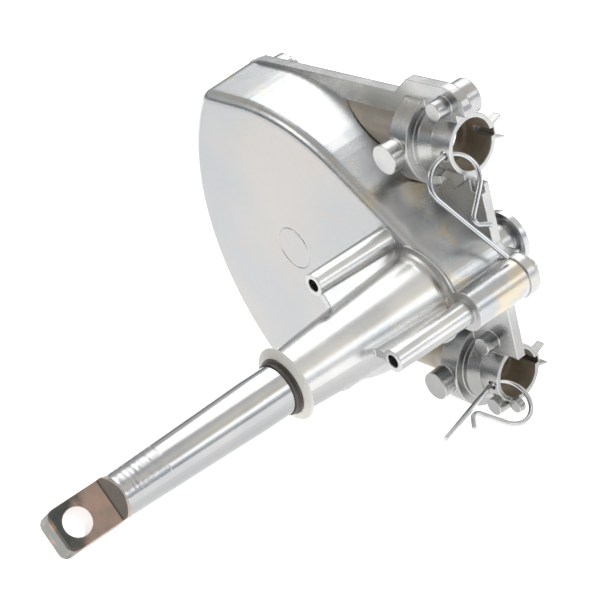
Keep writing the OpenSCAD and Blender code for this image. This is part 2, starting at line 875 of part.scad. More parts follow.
module shaft_seal()
    color(rubber)
        spin_y(0)
            polygon([
                [shaft_d / 2 + run_gap, seal_front_y],
                [shaft_d / 2 + run_gap + seal_lip_t, seal_front_y],
                [shaft_d / 2 + run_gap + seal_lip_t, seal_front_y + seal_stand * 0.4],
                [shaft_d / 2 + run_gap + seal_groove_t, seal_front_y + seal_stand * 0.5],
                [shaft_d / 2 + run_gap + seal_groove_t, seal_front_y + seal_stand * 0.65],
                [seal_d / 2, seal_front_y + seal_stand * 0.75],
                [seal_d / 2, ring_front_y + seal_pocket_depth - seat_gap],
                [shaft_d / 2 + run_gap, ring_front_y + seal_pocket_depth - seat_gap]
            ]);

module inner_bearing()
    color(bronze)
        tube_y(0, 0, bearing_start_y, inner_boss_end_y, bearing_bore_d - 2 * seat_gap, pinion_boss_d + 2 * run_gap);

module rear_bearing()
    color(bronze)
        tube_y(0, 0, joint_y + side_gap, journal_end_y, rear_bore_d - 2 * seat_gap, pinion_journal_d + 2 * run_gap);

module rear_cap()
    color(zinc)
        difference() {
            union() {
                rod_y(0, 0, journal_end_y + side_gap, rear_boss_y + cap_gap, rear_bore_d - 2 * seat_gap);
                rod_y(0, 0, rear_boss_y + cap_gap - slice, rear_boss_y + cap_gap + cap_t, cap_d);
            }
            span_y(rear_boss_y + cap_gap + cut, rear_boss_y + cap_gap + cap_t + cut) circle(d = cap_hex_d, $fn = 6);
        }

module thrust_washer()
    color(bronze)
        tube_y(0, 0, shoulder_y + side_gap, shoulder_y + side_gap + washer_t,
            thrust_washer_d, clutch_shaft_d + 2 * run_gap);

module shaft_circlip()
    color(steel)
        difference() {
            tube_y(0, 0, circlip_y + seat_gap, circlip_y + circlip_t - seat_gap,
                circlip_d, circlip_groove_d + 2 * run_gap);
            translate([-circlip_groove_d / 4, circlip_y - cut, 0])
                cube([circlip_groove_d / 2, circlip_t + 2 * cut, circlip_d]);
        }

// ---- Drive wheel ----

module drive_wheel()
    color(zinc)
        difference() {
            union() {
                translate([axle_x, 0, 0])
                    span_y(wheel_front_y, wheel_front_y + tooth_w)
                        difference() {
                            gear_outline(wheel_teeth);
                            circle(r = gear_ring_r);
                        }
                spin_y(axle_x)
                    difference() {
                        polygon([
                            [wheel_bore_d / 2, hub_front_y],
                            [wheel_hub_d / 2, hub_front_y],
                            [wheel_hub_d / 2, web_y],
                            [gear_ring_r + slice, web_y],
                            [gear_ring_r + slice, rim_front_y],
                            [drum_r, rim_front_y],
                            [drum_r, rim_rear_y],
                            [rim_inner_r, rim_rear_y],
                            [rim_inner_r, web_y + web_t],
                            [wheel_hub_d / 2, web_y + web_t],
                            [wheel_hub_d / 2, hub_rear_y],
                            [wheel_bore_d / 2, hub_rear_y]
                        ]);
                        translate([cable_r, cable_y]) circle(r = groove_r, $fn = 48);
                    }
            }
            for (i = [0 : rib_count - 1])
                translate([axle_x, 0, 0])
                    rotate([0, 360 / rib_count * i, 0])
                        rod_y(light_hole_r, 0, web_y - cut, web_y + web_t + cut, light_hole_d);
        }

module wheel_axle()
    color(steel)
        rod_y(axle_x, 0, axle_start_y, axle_end_y - seat_gap, axle_d);

module wheel_bush()
    color(bronze)
        tube_y(axle_x, 0, hub_front_y + seat_gap, hub_rear_y - seat_gap,
            wheel_bore_d - 2 * seat_gap, axle_d + 2 * run_gap);

module wheel_washer_front()
    color(steel)
        tube_y(axle_x, 0, hub_front_y - hub_washer_t, hub_front_y - run_gap, washer_d, axle_d + 2 * seat_gap);

module wheel_washer_rear()
    color(steel)
        tube_y(axle_x, 0, hub_rear_y + run_gap, hub_rear_y + hub_washer_t, washer_d, axle_d + 2 * seat_gap);

// The half ring that keeps the cable in its groove, on the side away from the outlets
module cable_race()
    color(nylon)
        difference() {
            tube_y(axle_x, 0, race_front_y, race_rear_y, 2 * (dish_r - race_gap), 2 * (dish_r - race_gap - race_t));
            translate([axle_x, race_front_y - cut, -dish_r - cut])
                cube([dish_r + cut, race_rear_y - race_front_y + 2 * cut, 2 * (dish_r + cut)]);
        }

// ---- Fasteners ----

module screw(x, z, seat_y)
    difference() {
        union() {
            rod_y(x, z, joint_y - thread_l, seat_y + slice, screw_d);
            rod_y(x, z, seat_y, seat_y + screw_head_h, screw_head_d);
        }
        translate([x, 0, z])
            span_y(seat_y + screw_head_h / 3, seat_y + screw_head_h + cut)
                circle(d = screw_head_d / 2, $fn = 6);
    }

module cover_screws()
    color(zinc) {
        for (a = stud_angles)
            screw(stud_r * cos(a), stud_r * sin(a), screw_seat(a));
        for (side = [1, -1])
            screw(corner_screw_x, side * corner_screw_z, corner_boss_y);
    }

module dowel_pins()
    color(steel)
        for (spot = dowel_spots)
            rod_y(spot[0], spot[1], joint_y - dowel_l + dowel_stand + side_gap / 2, joint_y + dowel_stand, dowel_d);

// ---- Spring clips ----

// The wire's middle line in the clip's own plane: s along the straight leg, e towards the eye
function clip_path() =
    let (
        gap = norm([bump_s, bump_e - eye_r]),
        run_a = atan2(bump_e - eye_r, bump_s) - asin((eye_r + bump_r) / gap),
        eye = arc(0, eye_r, eye_r, -90, run_a + 90 - 360, 2 * clip_steps),
        bump = arc(bump_s, bump_e, bump_r, run_a - 90, flare_a - 90, clip_steps),
        end = bump[len(bump) - 1]
    )
    concat([[leg_l, 0]], eye, bump, [end + flare_l * [cos(flare_a), sin(flare_a)]]);

// A clip whose leg runs along leg, with its eye on the side that eye points to
module clip(start, leg, eye) {
    d = unit(leg);
    e = unit(eye - (eye * d) * d);
    color(zinc)
        wire([for (p = clip_path()) start + p[0] * d + p[1] * e], wire_d, cross(d, e), clip_sides);
}

// The leg of the lower clip passes out through the lock hole
module clip_lower() {
    leg = [0.24, -0.97, -0.04];
    eye = [0.74, 0.21, -0.64];
    clip([lock_x, cable_y - outlet_d / 2, -cable_r] + low_clip_shift, leg, eye);
}

// The eye of the upper clip is threaded through the lock hole and the mouth
module clip_upper() {
    leg = unit([0.47, 0.39, -0.79]);
    lean = [0.12, 0.86, 0.49];
    eye = unit(lean - (lean * leg) * leg);
    hole_a = 153;
    in_hole = [lock_x, cable_y - outlet_d / 2, cable_r] + up_clip_shift;
    clip(in_hole - eye_r * (cos(hole_a) * leg + (1 + sin(hole_a)) * eye), leg, eye);
}

front_housing();
rear_cover();
input_shaft();
drive_pinion();
clutch_sleeve();
clutch_spring();
nose_bush();
shaft_seal();
inner_bearing();
rear_bearing();
rear_cap();
thrust_washer();
shaft_circlip();
drive_wheel();
wheel_axle();
wheel_bush();
wheel_washer_front();
wheel_washer_rear();
cable_race();
cover_screws();
dowel_pins();
clip_upper();
clip_lower();
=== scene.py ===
import json
import math

import bmesh
import bpy
from mathutils import Matrix, Vector


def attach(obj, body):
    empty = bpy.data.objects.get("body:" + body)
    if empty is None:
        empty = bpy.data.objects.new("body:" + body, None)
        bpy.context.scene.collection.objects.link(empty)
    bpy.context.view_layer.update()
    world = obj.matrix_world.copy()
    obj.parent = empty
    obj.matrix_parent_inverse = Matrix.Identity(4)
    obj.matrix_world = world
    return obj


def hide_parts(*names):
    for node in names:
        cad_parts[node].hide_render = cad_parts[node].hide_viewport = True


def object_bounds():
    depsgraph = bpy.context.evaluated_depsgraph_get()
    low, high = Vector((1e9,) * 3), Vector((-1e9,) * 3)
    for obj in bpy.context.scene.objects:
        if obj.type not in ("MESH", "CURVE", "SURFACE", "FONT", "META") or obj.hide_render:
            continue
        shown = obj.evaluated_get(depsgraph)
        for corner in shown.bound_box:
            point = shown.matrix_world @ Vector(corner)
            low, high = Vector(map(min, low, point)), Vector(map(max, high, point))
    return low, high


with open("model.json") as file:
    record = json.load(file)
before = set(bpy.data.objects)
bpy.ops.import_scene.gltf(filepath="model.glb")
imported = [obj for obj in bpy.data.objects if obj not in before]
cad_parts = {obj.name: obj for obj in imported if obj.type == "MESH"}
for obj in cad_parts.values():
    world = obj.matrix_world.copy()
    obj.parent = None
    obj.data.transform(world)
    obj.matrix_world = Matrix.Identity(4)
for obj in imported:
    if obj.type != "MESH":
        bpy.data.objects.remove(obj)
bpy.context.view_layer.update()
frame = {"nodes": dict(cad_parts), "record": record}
nodes = frame["nodes"]

# ---- Sizes, in metres, from the CAD ----

CABLE_Y = 0.0667             # the two cables' axes, above and below the origin
CABLE_Z = 0.0493
RIM_X = 0.00993              # the outlets' rims
OUTLET_R = 0.0115
LOCK_X = RIM_X - 0.0031      # the lock holes for the spring clips
WIRE_R = 0.001
FACE_Y = 0.036               # the case's flat front face
TURNED_END_Y = -0.0862       # the coarse turning marks run from here to the tongue
TONGUE_START_Y = -0.1084
HOLE_Y = -0.12135            # the tongue's cross hole
HOLE_R = 0.00503
SHAFT_END_Y = -0.1292
TONGUE_ACROSS = (0.63, -0.776)   # x and z of the direction across the tongue's width
TONGUE_HALF = 0.0075             # about half that width

# ---- Colours, linear RGB ----

CASTING_SHADE, CASTING_LIGHT = (0.60, 0.62, 0.64), (0.74, 0.74, 0.73)
NOSE_SHADE, NOSE_LIGHT = (0.74, 0.75, 0.76), (0.88, 0.88, 0.86)
# painted shade for the undersides of the nose and studs
NOSE_UNDERSIDE_SHADE = (0.38, 0.39, 0.39)
WALL_BLUE, WALL_TAN = (0.52, 0.55, 0.58), (0.82, 0.70, 0.50)
FACE_COOL, FACE_WARM = (0.58, 0.60, 0.62), (0.65, 0.635, 0.62)
FACE_PINK = (0.66, 0.61, 0.58)
# painted highlight for the casting's rounded edges
CASTING_EDGE_HIGHLIGHT = (0.86, 0.87, 0.88)

COVER_SHADE, COVER_LIGHT = (0.52, 0.53, 0.54), (0.70, 0.70, 0.68)
# painted shade for the lower outlet
COVER_LOWER_SHADE = (0.34, 0.34, 0.335)
# painted highlight for the cover's rounded edges
COVER_EDGE_HIGHLIGHT = (0.88, 0.88, 0.86)
# dark brown painted shade for the cables' bores
BORE_SHADE_DARK, BORE_SHADE_LIGHT = (0.34, 0.305, 0.24), (0.48, 0.40, 0.32)

ZINC_SHADE, ZINC_LIGHT = (0.62, 0.63, 0.65), (0.71, 0.71, 0.70)
# painted shade for the shaft's underside
ZINC_UNDERSIDE_SHADE = (0.43, 0.44, 0.45)
COPPER_DARK, COPPER_LIGHT = (0.37, 0.295, 0.26), (0.49, 0.35, 0.29)
SHOULDER_DARK, SHOULDER_LIGHT = (0.40, 0.35, 0.32), (0.62, 0.54, 0.49)
BURNT_DARK, BURNT_LIGHT = (0.05, 0.06, 0.058), (0.17, 0.18, 0.17)
# painted shade for the inside corner where the tongue meets the shoulder
CREASE_SHADE = (0.10, 0.095, 0.09)
SAWN_GREY, SAWN_COPPER = (0.22, 0.23, 0.225), (0.46, 0.31, 0.23)
DRILLED_PINK, DRILLED_GREY = (0.86, 0.77, 0.74), (0.80, 0.79, 0.79)
# painted highlight for the tongue's rounded edges
COPPER_EDGE_HIGHLIGHT = (0.74, 0.46, 0.33)


# ---- Materials ----

class Mat:
    """A node material and the few helpers that the recipes below share."""

    def __init__(self, name):
        self.mat = bpy.data.materials.new(name)
        self.mat.use_nodes = True
        self.tree = self.mat.node_tree
        self.tree.nodes.clear()
        self.out = self.tree.nodes.new("ShaderNodeOutputMaterial")
        self.bsdf = self.tree.nodes.new("ShaderNodeBsdfPrincipled")
        self.link(self.bsdf.outputs[0], self.out.inputs[0])
        self.coord = self.tree.nodes.new("ShaderNodeTexCoord")

    def link(self, a, b):
        self.tree.links.new(a, b)

    def put(self, socket, value):
        """Links a socket, or sets a number or colour."""
        if isinstance(value, bpy.types.NodeSocket):
            self.link(value, socket)
        elif isinstance(value, (tuple, list)) and len(value) == 3 and socket.type == "RGBA":
            socket.default_value = (*value, 1)
        else:
            socket.default_value = value

    def math(self, op, a, b=None):
        n = self.tree.nodes.new("ShaderNodeMath")
        n.operation = op
        self.put(n.inputs[0], a)
        if b is not None:
            self.put(n.inputs[1], b)
        return n.outputs[0]

    def add(self, a, b):
        return self.math("ADD", a, b)

    def sub(self, a, b):
        return self.math("SUBTRACT", a, b)

    def mul(self, a, b):
        return self.math("MULTIPLY", a, b)

    def invert(self, fac):
        return self.sub(1.0, fac)

    def length(self, a, b):
        return self.math("SQRT", self.add(self.mul(a, a), self.mul(b, b)))

    def split(self, vector=None):
        """X, Y and Z of a vector, or of the place on the object."""
        n = self.tree.nodes.new("ShaderNodeSeparateXYZ")
        self.link(vector or self.coord.outputs["Object"], n.inputs[0])
        return n.outputs

    def facing(self):
        """X, Y and Z of the surface's own normal."""
        return self.split(self.coord.outputs["Normal"])

    def noise(self, scale, detail=3.0, rough=0.55, stretch=None, shift=0.0):
        n = self.tree.nodes.new("ShaderNodeTexNoise")
        n.inputs["Scale"].default_value = scale
        n.inputs["Detail"].default_value = detail
        n.inputs["Roughness"].default_value = rough
        m = self.tree.nodes.new("ShaderNodeMapping")
        m.inputs["Location"].default_value = (shift, shift * 0.7, -shift)
        if stretch:
            m.inputs["Scale"].default_value = stretch
        self.link(self.coord.outputs["Object"], m.inputs[0])
        self.link(m.outputs[0], n.inputs["Vector"])
        return n.outputs["Fac"]

    def ramp(self, fac, low, high):
        """Maps low..high of fac to 0..1, smoothly."""
        n = self.tree.nodes.new("ShaderNodeMapRange")
        n.interpolation_type = "SMOOTHSTEP"
        self.put(n.inputs["Value"], fac)
        n.inputs["From Min"].default_value = low
        n.inputs["From Max"].default_value = high
        return n.outputs[0]

    def below(self, fac, low, high):
        """1 where fac is below low, 0 where it is above high."""
        return self.invert(self.ramp(fac, low, high))

    def scale(self, fac, low, high):
        """Maps 0..1 to low..high."""
        n = self.tree.nodes.new("ShaderNodeMapRange")
        self.put(n.inputs["Value"], fac)
        n.inputs["To Min"].default_value = low
        n.inputs["To Max"].default_value = high
        return n.outputs[0]

    def mix(self, fac, a, b):
        """Mixes two colours."""
        n = self.tree.nodes.new("ShaderNodeMix")
        n.data_type = "RGBA"
        self.put(n.inputs[0], fac)
        self.put(n.inputs[6], a)
        self.put(n.inputs[7], b)
        return n.outputs[2]

    def blend(self, fac, a, b):
        """Mixes two numbers."""
        n = self.tree.nodes.new("ShaderNodeMix")
        n.data_type = "FLOAT"
        self.put(n.inputs[0], fac)
        self.put(n.inputs[2], a)
        self.put(n.inputs[3], b)
        return n.outputs[0]

    def round_edges(self, radius):
        n = self.tree.nodes.new("ShaderNodeBevel")
        n.samples = 6
        n.inputs["Radius"].default_value = radius
        return n.outputs[0]

    def edge_mask(self, rounded):
        """1 on the edges, 0 on the flats."""
        g = self.tree.nodes.new("ShaderNodeNewGeometry")
        d = self.tree.nodes.new("ShaderNodeVectorMath")
        d.operation = "DOT_PRODUCT"
        self.link(g.outputs["Normal"], d.inputs[0])
        self.link(rounded, d.inputs[1])
        return self.ramp(self.invert(d.outputs["Value"]), 0.02, 0.14)

    def bump(self, height, distance, strength, normal):
        n = self.tree.nodes.new("ShaderNodeBump")
        n.inputs["Strength"].default_value = strength
        n.inputs["Distance"].default_value = distance
        self.link(height, n.inputs["Height"])
        self.link(normal, n.inputs["Normal"])
        return n.outputs[0]

    def finish(self, colour, roughness, metallic=1.0, normal=None):
        self.put(self.bsdf.inputs["Base Color"], colour)
        self.put(self.bsdf.inputs["Roughness"], roughness)
        self.put(self.bsdf.inputs["Metallic"], metallic)
        if normal is not None:
            self.link(normal, self.bsdf.inputs["Normal"])
        return self.mat


def front_casting():
    """Tumbled bright casting: blue-grey and tan patches on the walls, a brighter nose with painted
    shade underneath, painted highlights on the edges and a matte front face.
    """
    m = Mat("front_casting")
    y = m.split()[1]
    _, facing_y, facing_z = m.facing()
    edges = m.round_edges(0.0007)
    edge_highlight = m.edge_mask(edges)
    mottle = m.noise(38.0, 4.0, 0.6)
    fine = m.noise(420.0, 3.0, 0.6)
    # the nose and studs are brighter than the walls, with painted shade on their undersides
    patchy = m.ramp(mottle, 0.35, 0.7)
    walls = m.ramp(y, 0.030, 0.040)
    nose = m.invert(walls)
    body = m.mix(patchy, CASTING_SHADE, CASTING_LIGHT)
    body = m.mix(nose, body, m.mix(patchy, NOSE_SHADE, NOSE_LIGHT))
    underside_shade = m.mul(m.ramp(m.mul(facing_z, -1.0), -0.25, 0.20), nose)
    body = m.mix(m.mul(underside_shade, 0.72), body, NOSE_UNDERSIDE_SHADE)
    # blue-grey and tan patches on the walls
    blue = m.mul(m.ramp(m.noise(48.0, 4.0, 0.6, shift=1.3), 0.42, 0.60), walls)
    body = m.mix(m.mul(blue, 0.55), body, WALL_BLUE)
    tan = m.mul(m.ramp(m.noise(52.0, 4.0, 0.65, shift=6.2), 0.50, 0.64), walls)
    body = m.mix(m.mul(tan, 0.7), body, WALL_TAN)
    # the matte front face, faintly clouded
    flat = m.ramp(m.mul(facing_y, -1.0), 0.93, 0.995)
    face = m.mul(flat, m.ramp(y, FACE_Y - 0.0015, FACE_Y - 0.0004))
    cloud = m.mix(m.ramp(m.noise(14.0, 2.0, 0.5, shift=3.1), 0.35, 0.65), FACE_COOL, FACE_WARM)
    pink = m.ramp(m.noise(55.0, 3.0, 0.5, shift=8.0), 0.50, 0.72)
    cloud = m.mix(m.mul(pink, 0.5), cloud, FACE_PINK)
    colour = m.mix(face, body, cloud)
    # painted highlight along the rounded edges
    colour = m.mix(m.mul(edge_highlight, 0.5), colour, CASTING_EDGE_HIGHLIGHT)
    rough = m.blend(face, m.scale(mottle, 0.20, 0.34), m.scale(fine, 0.44, 0.56))
    grain = m.add(m.mul(fine, 0.5), m.noise(1400.0, 2.0, 0.6))
    return m.finish(colour, rough, 1.0, m.bump(grain, 0.00006, 0.5, edges))


def near_cables(m):
    """1 near the cables' axes behind the rims, fading to 0 at 10.5 mm from them.

    It covers the bores' walls, and it also tints the passage tubes' outsides, 10.1 mm from the axes.
    """
    x, y, z = m.split()
    off_z = m.sub(m.math("ABSOLUTE", z), CABLE_Z)
    from_axis = m.length(off_z, m.sub(y, CABLE_Y))
    near = m.below(from_axis, OUTLET_R - 0.0016, OUTLET_R - 0.0010)
    return m.mul(near, m.below(x, RIM_X - 0.0009, RIM_X - 0.0003))


def rear_casting():
    """Satin casting, with painted shade darkening it towards the bottom at the lower outlet and dark
    brown painted shade in the cables' bores.
    """
    m = Mat("rear_casting")
    z = m.split()[2]
    edges = m.round_edges(0.0008)
    edge_highlight = m.edge_mask(edges)
    bore_shade = near_cables(m)
    mottle = m.noise(45.0, 4.0, 0.6)
    fine = m.noise(500.0, 3.0, 0.65)
    body = m.mix(m.ramp(mottle, 0.3, 0.7), COVER_SHADE, COVER_LIGHT)
    # painted shade, darker towards the bottom at the lower outlet
    body = m.mix(m.mul(m.below(z, -0.040, -0.010), 0.7), body, COVER_LOWER_SHADE)
    # painted highlight along the rounded edges
    colour = m.mix(m.mul(edge_highlight, 0.8), body, COVER_EDGE_HIGHLIGHT)
    # dark brown painted shade in the cables' bores and on the passage tubes' outsides
    bore_shade_tone = m.mix(m.ramp(m.noise(120.0, 3.0, 0.6, shift=2.0), 0.35, 0.7), BORE_SHADE_DARK, BORE_SHADE_LIGHT)
    colour = m.mix(bore_shade, colour, bore_shade_tone)
    rough = m.blend(bore_shade, m.scale(mottle, 0.20, 0.34), 0.5)
    metal = m.invert(m.mul(bore_shade, 0.6))
    grain = m.add(fine, m.noise(1300.0, 2.0, 0.6))
    return m.finish(colour, rough, metal, m.bump(grain, 0.00007, 0.55, edges))


def tongue_tone(m, x, y, z):
    """Bare tongue: copper-brown, with a burnt end, a grey shoulder, a sawn end and a drilled hole."""
    sideways = m.add(m.mul(x, TONGUE_ACROSS[0]), m.mul(z, TONGUE_ACROSS[1]))
    across = m.math("DIVIDE", sideways, TONGUE_HALF)
    along = m.math("DIVIDE", m.sub(y, HOLE_Y - 0.0010), 0.0050)
    ragged = m.mul(m.sub(m.noise(170.0, 3.0, 0.6), 0.5), 3.4)
    burnt = m.below(m.add(m.add(along, ragged), m.mul(across, 0.75)), -0.5, 1.1)
    tone = m.mix(m.ramp(m.noise(140.0, 3.0, 0.6), 0.3, 0.7), COPPER_DARK, COPPER_LIGHT)
    shoulder = m.mix(m.noise(260.0, 3.0, 0.6, shift=4.0), SHOULDER_DARK, SHOULDER_LIGHT)
    tone = m.mix(m.ramp(y, TONGUE_START_Y - 0.0008, TONGUE_START_Y + 0.0012), tone, shoulder)
    tone = m.mix(burnt, tone, m.mix(m.noise(420.0, 3.0, 0.7, shift=7.0), BURNT_DARK, BURNT_LIGHT))
    # painted shade, a dark line in the inside corner where the tongue meets the shoulder
    crease_shade = m.below(m.math("ABSOLUTE", m.sub(y, TONGUE_START_Y)), 0.0001, 0.0004)
    tone = m.mix(m.mul(crease_shade, 0.85), tone, CREASE_SHADE)
    sawn = m.mix(m.ramp(m.noise(150.0, 3.0, 0.6, shift=2.5), 0.48, 0.66), SAWN_GREY, SAWN_COPPER)
    tone = m.mix(m.below(y, SHAFT_END_Y + 0.0006, SHAFT_END_Y + 0.0012), tone, sawn)
    drilled = m.below(m.length(m.sub(y, HOLE_Y), sideways), HOLE_R + 0.00003, HOLE_R + 0.00009)
    wall = m.mix(m.noise(200.0, 2.0, 0.6, shift=9.0), DRILLED_PINK, DRILLED_GREY)
    return m.mix(drilled, tone, wall)


def shaft_zinc():
    """Zinc-plated shaft with turning marks, and a bare milled tongue."""
    m = Mat("shaft_zinc")
    x, y, z = m.split()
    _, facing_y, facing_z = m.facing()
    edges = m.round_edges(0.0005)
    edge_highlight = m.edge_mask(edges)
    mottle = m.noise(60.0, 3.0, 0.55)
    # bare metal on the milled tongue and on the slanting neck behind it
    milled = m.below(y, TONGUE_START_Y + 0.0001, TONGUE_START_Y + 0.0004)
    neck = m.below(y, TONGUE_START_Y + 0.0046, TONGUE_START_Y + 0.0050)
    slant = m.ramp(m.math("ABSOLUTE", facing_y), 0.10, 0.20)
    bare = m.math("MAXIMUM", milled, m.mul(neck, slant))
    plate = m.mix(m.ramp(mottle, 0.35, 0.7), ZINC_SHADE, ZINC_LIGHT)
    # painted shade on the shaft's underside
    underside_shade = m.ramp(m.mul(facing_z, -1.0), -0.65, 0.25)
    plate = m.mix(m.mul(underside_shade, 0.85), plate, ZINC_UNDERSIDE_SHADE)
    # painted highlight along the tongue's rounded edges
    tone = m.mix(m.mul(edge_highlight, 0.85), tongue_tone(m, x, y, z), COPPER_EDGE_HIGHLIGHT)
    colour = m.mix(bare, plate, tone)
    rough = m.blend(bare, m.scale(mottle, 0.13, 0.22), m.scale(mottle, 0.30, 0.45))
    # turned rings, coarse and deep next to the tongue, fine along the rest; strokes on the bare metal
    rings = m.noise(1.0, 2.0, 0.6, stretch=(20.0, 1050.0, 20.0))
    fine = m.noise(1.0, 1.0, 0.5, stretch=(15.0, 5200.0, 15.0))
    strokes = m.noise(1.0, 2.0, 0.6, stretch=(120.0, 3200.0, 120.0), shift=5.0)
    turned = m.mul(m.below(y, TURNED_END_Y, TURNED_END_Y + 0.0007), m.invert(bare))
    height = m.add(m.mul(m.mul(rings, turned), 2.2), m.mul(fine, 0.05))
    height = m.add(height, m.mul(m.mul(strokes, bare), 0.25))
    return m.finish(colour, rough, 1.0, m.bump(height, 0.00022, 0.8, edges))


def plain_metal(name, low, high, rough, scale=60.0, bump=0.00003):
    m = Mat(name)
    edges = m.round_edges(0.0004)
    n = m.noise(scale)
    colour = m.mix(m.ramp(n, 0.3, 0.7), low, high)
    # painted highlight along the rounded edges
    bright = tuple(min(1.0, v * 1.25) for v in high)
    colour = m.mix(m.mul(m.edge_mask(edges), 0.4), colour, bright)
    fine = m.noise(scale * 14, 2.0, 0.6)
    return m.finish(colour, m.scale(n, *rough), 1.0, m.bump(fine, bump, 0.5, edges))


def plain_matte(name, low, high, rough, scale, bump):
    m = Mat(name)
    edges = m.round_edges(0.0004)
    colour = m.mix(m.ramp(m.noise(scale, 3.0, 0.6), 0.3, 0.7), low, high)
    fine = m.noise(scale * 12, 2.0, 0.6)
    return m.finish(colour, m.scale(fine, *rough), 0.0, m.bump(fine, bump, 0.5, edges))


# darker tone, lighter tone, least and most roughness, and the grain where it isn't the usual
PLAIN_METALS = {
    "gear_steel": ((0.42, 0.43, 0.45), (0.58, 0.59, 0.61), (0.24, 0.38), {}),
    "spring_steel": ((0.30, 0.31, 0.33), (0.44, 0.45, 0.47), (0.26, 0.40), {}),
    "bearing_bronze": ((0.45, 0.31, 0.15), (0.62, 0.45, 0.24), (0.30, 0.46), {"scale": 140.0}),
    "zinc_plate": ((0.58, 0.60, 0.63), (0.74, 0.75, 0.76), (0.18, 0.32), {}),
    "wheel_casting": ((0.46, 0.47, 0.49), (0.60, 0.61, 0.62), (0.30, 0.46), {"bump": 0.00006}),
    "clip_wire": ((0.62, 0.64, 0.66), (0.80, 0.81, 0.82), (0.10, 0.22), {"scale": 120.0}),
}
PLAIN_MATTES = {
    "white_nylon": ((0.80, 0.79, 0.73), (0.90, 0.89, 0.84), (0.40, 0.52),
                    {"scale": 90.0, "bump": 0.00004}),
    "seal_rubber": ((0.075, 0.062, 0.056), (0.13, 0.11, 0.10), (0.30, 0.46),
                    {"scale": 160.0, "bump": 0.00005}),
}

materials = {
    "front_casting": front_casting(),
    "rear_casting": rear_casting(),
    "shaft_zinc": shaft_zinc(),
}
for recipe, table in ((plain_metal, PLAIN_METALS), (plain_matte, PLAIN_MATTES)):
    for name, (low, high, rough, grain) in table.items():
        materials[name] = recipe(name, low, high, rough, **grain)

for part in frame["record"]["subparts"]:
    data = nodes[part["node"]].data
    if not data.materials:
        data.materials.append(None)
    for i in range(len(data.materials)):
        data.materials[i] = materials[part["material_slot"]]


# ---- Spring clips, as round wire ----

LEG = 0.033                                       # the straight leg, from the eye to its end
EYE_R = 0.0094                                    # the round eye
BUMP_S, BUMP_E, BUMP_R = 0.0156, 0.0052, 0.0028   # the other leg's bump: along, off and radius
FLARE_A, FLARE_L = math.radians(40), 0.004        # its flared tip


def arc(cx, cy, r, a0, a1, n):
    angles = [a0 + (a1 - a0) * i / n for i in range(n + 1)]
    return [(cx + r * math.cos(a), cy + r * math.sin(a)) for a in angles]


def clip_path():
    """The wire's centre line, as distances along the straight leg and off it."""
    gap = math.hypot(BUMP_S, BUMP_E - EYE_R)
    run = math.atan2(BUMP_E - EYE_R, BUMP_S) - math.asin((EYE_R + BUMP_R) / gap)
    eye = arc(0, EYE_R, EYE_R, -math.pi / 2, run + math.pi / 2 - 2 * math.pi, 72)
    bend = arc(BUMP_S, BUMP_E, BUMP_R, run - math.pi / 2, FLARE_A - math.pi / 2, 28)
    end = (bend[-1][0] + FLARE_L * math.cos(FLARE_A), bend[-1][1] + FLARE_L * math.sin(FLARE_A))
    return [(LEG, 0)] + eye + bend + [end]


def upright(vector, leg):
    """The unit vector nearest to one given that is square to a leg."""
    return (vector - vector.dot(leg) * leg).normalized()


def clip(name, start, leg, eye, body):
    leg = leg.normalized()
    eye = upright(eye, leg)
    curve = bpy.data.curves.new(name, "CURVE")
    curve.dimensions = "3D"
    curve.bevel_depth = WIRE_R
    curve.bevel_resolution = 5
    curve.use_fill_caps = True
    points = clip_path()
    spline = curve.splines.new("POLY")
    spline.points.add(len(points) - 1)
    for target, (along, off) in zip(spline.points, points):
        target.co = (*(start + along * leg + off * eye), 1)
    spline.use_smooth = True
    curve.materials.append(materials["clip_wire"])
    wire = bpy.data.objects.new(name, curve)
    bpy.context.scene.collection.objects.link(wire)
    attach(wire, body)
    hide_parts(body)


clip(
    "lower_spring_clip",
    Vector((LOCK_X - 0.0004, CABLE_Y - OUTLET_R - 0.001, -CABLE_Z - 0.0002)),
    Vector((0.24, -0.97, -0.04)), Vector((0.74, 0.21, -0.64)), "clip_lower",
)
# the upper clip hangs by its eye in the lock hole
UPPER_LEG = Vector((0.47, 0.39, -0.79)).normalized()
UPPER_EYE = upright(Vector((0.12, 0.86, 0.49)), UPPER_LEG)
UPPER_HOLE = Vector((LOCK_X - 0.00007, CABLE_Y - OUTLET_R + 0.0004, CABLE_Z - 0.0001))
EYE_HOLE_A = math.radians(153)   # where round the eye the hole is
clip(
    "upper_spring_clip",
    UPPER_HOLE - EYE_R * (math.cos(EYE_HOLE_A) * UPPER_LEG + (1 + math.sin(EYE_HOLE_A)) * UPPER_EYE),
    UPPER_LEG, UPPER_EYE, "clip_upper",
)

# ---- Web that closes the key slot between each outlet's fins ----

WEB_BACK_X, WEB_FRONT_X = RIM_X - 0.0095, RIM_X - 0.0003
WEB_IN, WEB_OUT, WEB_HALF_A = 0.01165, 0.0126, math.radians(12)
WEB_STEPS = 8
WEB_CHAMFER = 0.0003
WEB_OUTLINE = (
    (WEB_BACK_X, WEB_IN),
    (WEB_FRONT_X - WEB_CHAMFER, WEB_IN),
    (WEB_FRONT_X, WEB_IN + WEB_CHAMFER),
    (WEB_FRONT_X, WEB_OUT - WEB_CHAMFER),
    (WEB_FRONT_X - WEB_CHAMFER, WEB_OUT),
    (WEB_BACK_X, WEB_OUT),
)


